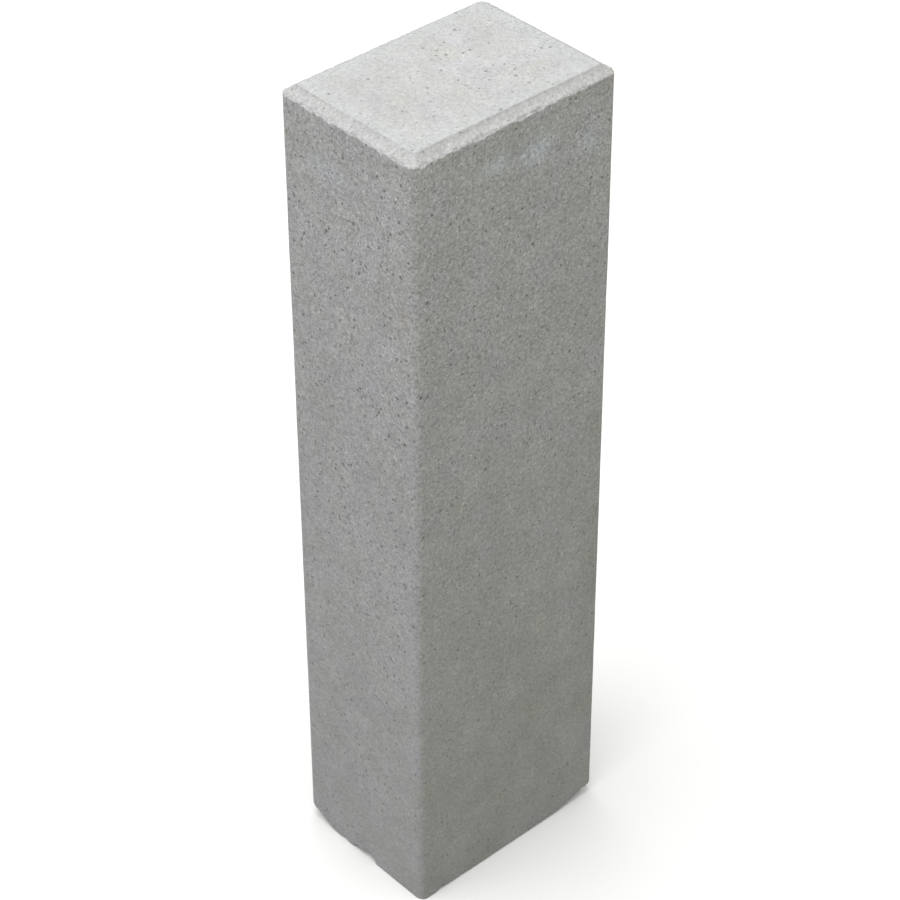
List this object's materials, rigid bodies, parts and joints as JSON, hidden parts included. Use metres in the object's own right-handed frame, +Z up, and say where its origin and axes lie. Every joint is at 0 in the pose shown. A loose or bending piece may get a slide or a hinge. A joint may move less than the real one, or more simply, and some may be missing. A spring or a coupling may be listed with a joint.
{
  "type": "concrete palisade",
  "caption": "Rectangular cast concrete palisade post with rounded upright edges and a bevelled head, for edging and low retaining rows.",
  "frame": {"origin": "middle of the foot, on the ground", "axes": "+Z up the post, +X along the two broad faces, +Y through them"},
  "size_m": [0.165, 0.12, 0.6],
  "materials": {
    "grey_concrete": "fine sandy vibro-pressed concrete, matt"
  },
  "bodies": {
    "root": {"palisade": "grey_concrete"}
  },
  "joints": []
}
